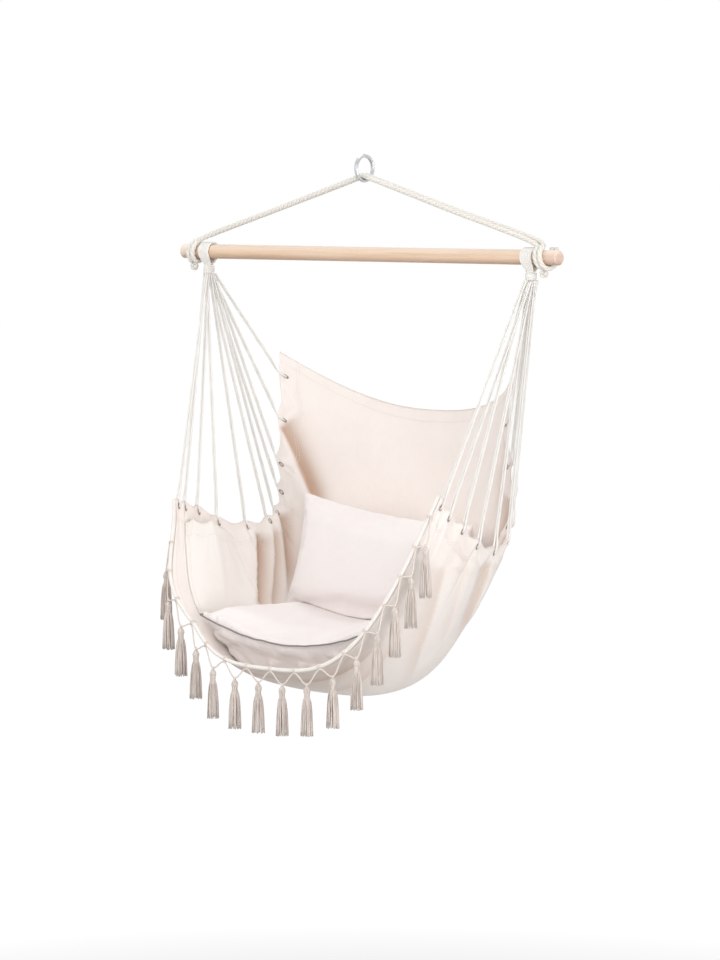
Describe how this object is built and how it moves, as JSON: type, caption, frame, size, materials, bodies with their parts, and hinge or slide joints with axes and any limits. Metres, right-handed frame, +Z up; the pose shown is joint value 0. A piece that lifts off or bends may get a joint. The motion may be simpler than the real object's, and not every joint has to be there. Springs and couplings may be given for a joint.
{
  "type": "hammock chair",
  "caption": "Canvas hammock chair hung by fans of cord from a wooden spreader bar, with a seat cushion, a back pillow, an arm pocket and a tasselled front edge.",
  "frame": {"origin": "the point inside the steel ring where the hook that carries the chair bears", "axes": "+Z up, -Y is the way the sitter faces, +X is the sitter's left"},
  "size_m": [0.975, 0.4953, 1.1001],
  "materials": {
    "steel": "satin",
    "rope": "matte",
    "wood": "satin",
    "canvas": "matte",
    "cotton": "matte",
    "tassel_yarn": "matte",
    "upholstery": "matte",
    "piping": "matte"
  },
  "bodies": {
    "ring": {"hanging_ring": "steel"},
    "swing": {"suspension_rope_front": "rope", "suspension_rope_rear": "rope", "spreader_bar": "wood", "hitch_knot_left": "rope", "hitch_knot_right": "rope"},
    "seat": {"eye_loop_left": "cotton", "eye_loop_right": "cotton", "whipping_left": "cotton", "whipping_right": "cotton", "fan_cord_left_01": "cotton", "fan_cord_left_02": "cotton", "fan_cord_left_03": "cotton", "fan_cord_left_04": "cotton", "fan_cord_left_05": "cotton", "fan_cord_left_06": "cotton", "fan_cord_left_07": "cotton", "fan_cord_left_08": "cotton", "fan_cord_left_09": "cotton", "fan_cord_left_10": "cotton", "fan_cord_left_11": "cotton", "fan_cord_right_01": "cotton", "fan_cord_right_02": "cotton", "fan_cord_right_03": "cotton", "fan_cord_right_04": "cotton", "fan_cord_right_05": "cotton", "fan_cord_right_06": "cotton", "fan_cord_right_07": "cotton", "fan_cord_right_08": "cotton", "fan_cord_right_09": "cotton", "fan_cord_right_10": "cotton", "fan_cord_right_11": "cotton", "canvas_seat": "canvas", "front_edge_rope": "rope", "fringe_cord": "tassel_yarn", "arm_pocket": "canvas"},
    "cushion": {"seat_cushion": "upholstery", "cushion_piping": "piping"},
    "pillow": {"back_pillow": "upholstery"},
    "tassel_01": {"tassel_01": "tassel_yarn"},
    "tassel_02": {"tassel_02": "tassel_yarn"},
    "tassel_03": {"tassel_03": "tassel_yarn"},
    "tassel_04": {"tassel_04": "tassel_yarn"},
    "tassel_05": {"tassel_05": "tassel_yarn"},
    "tassel_06": {"tassel_06": "tassel_yarn"},
    "tassel_07": {"tassel_07": "tassel_yarn"},
    "tassel_08": {"tassel_08": "tassel_yarn"},
    "tassel_09": {"tassel_09": "tassel_yarn"},
    "tassel_10": {"tassel_10": "tassel_yarn"},
    "tassel_11": {"tassel_11": "tassel_yarn"},
    "tassel_12": {"tassel_12": "tassel_yarn"},
    "tassel_13": {"tassel_13": "tassel_yarn"},
    "tassel_14": {"tassel_14": "tassel_yarn"},
    "tassel_15": {"tassel_15": "tassel_yarn"}
  },
  "joints": [
    {"name": "chair_swing", "type": "hinge", "parent": "ring", "child": "swing", "pos_m": [0, 0, -0.02], "axis": [1, 0, 0], "range_deg": [-28, 28]},
    {"name": "seat_rock", "type": "hinge", "parent": "swing", "child": "seat", "pos_m": [0, 0, -0.1857], "axis": [1, 0, 0], "range_deg": [-20, 20]},
    {"name": "cushion_lift", "type": "slide", "parent": "seat", "child": "cushion", "axis": [0, 0, 1], "range_m": [0, 0.25]},
    {"name": "pillow_lift", "type": "slide", "parent": "cushion", "child": "pillow", "axis": [0, 0, 1], "range_m": [0, 0.25]},
    {"name": "tassel_01_swing", "type": "hinge", "parent": "seat", "child": "tassel_01", "pos_m": [-0.3207, -0.22221, -0.80258], "axis": [1, 0, 0], "range_deg": [-30, 12]},
    {"name": "tassel_02_swing", "type": "hinge", "parent": "seat", "child": "tassel_02", "pos_m": [-0.29517, -0.24292, -0.85721], "axis": [1, 0, 0], "range_deg": [-40, 12]},
    {"name": "tassel_03_swing", "type": "hinge", "parent": "seat", "child": "tassel_03", "pos_m": [-0.2518, -0.25243, -0.90528], "axis": [1, 0, 0], "range_deg": [-40, 12]},
    {"name": "tassel_04_swing", "type": "hinge", "parent": "seat", "child": "tassel_04", "pos_m": [-0.20511, -0.25912, -0.94509], "axis": [1, 0, 0], "range_deg": [-40, 40]},
    {"name": "tassel_05_swing", "type": "hinge", "parent": "seat", "child": "tassel_05", "pos_m": [-0.14972, -0.26925, -0.97719], "axis": [1, 0, 0], "range_deg": [-40, 40]},
    {"name": "tassel_06_swing", "type": "hinge", "parent": "seat", "child": "tassel_06", "pos_m": [-0.08772, -0.27357, -0.99156], "axis": [1, 0, 0], "range_deg": [-40, 40]},
    {"name": "tassel_07_swing", "type": "hinge", "parent": "seat", "child": "tassel_07", "pos_m": [-0.02486, -0.27426, -0.9942], "axis": [1, 0, 0], "range_deg": [-40, 40]},
    {"name": "tassel_08_swing", "type": "hinge", "parent": "seat", "child": "tassel_08", "pos_m": [0.03721, -0.27429, -0.99417], "axis": [1, 0, 0], "range_deg": [-40, 40]},
    {"name": "tassel_09_swing", "type": "hinge", "parent": "seat", "child": "tassel_09", "pos_m": [0.10007, -0.27325, -0.98947], "axis": [1, 0, 0], "range_deg": [-40, 40]},
    {"name": "tassel_10_swing", "type": "hinge", "parent": "seat", "child": "tassel_10", "pos_m": [0.16076, -0.26817, -0.96976], "axis": [1, 0, 0], "range_deg": [-40, 40]},
    {"name": "tassel_11_swing", "type": "hinge", "parent": "seat", "child": "tassel_11", "pos_m": [0.21248, -0.25764, -0.93146], "axis": [1, 0, 0], "range_deg": [-40, 40]},
    {"name": "tassel_12_swing", "type": "hinge", "parent": "seat", "child": "tassel_12", "pos_m": [0.25173, -0.24419, -0.88295], "axis": [1, 0, 0], "range_deg": [-40, 40]},
    {"name": "tassel_13_swing", "type": "hinge", "parent": "seat", "child": "tassel_13", "pos_m": [0.28299, -0.22946, -0.82974], "axis": [1, 0, 0], "range_deg": [-40, 12]},
    {"name": "tassel_14_swing", "type": "hinge", "parent": "seat", "child": "tassel_14", "pos_m": [0.30895, -0.21417, -0.77426], "axis": [1, 0, 0], "range_deg": [-40, 12]},
    {"name": "tassel_15_swing", "type": "hinge", "parent": "seat", "child": "tassel_15", "pos_m": [0.3314, -0.19863, -0.71756], "axis": [1, 0, 0], "range_deg": [-40, 12]}
  ]
}
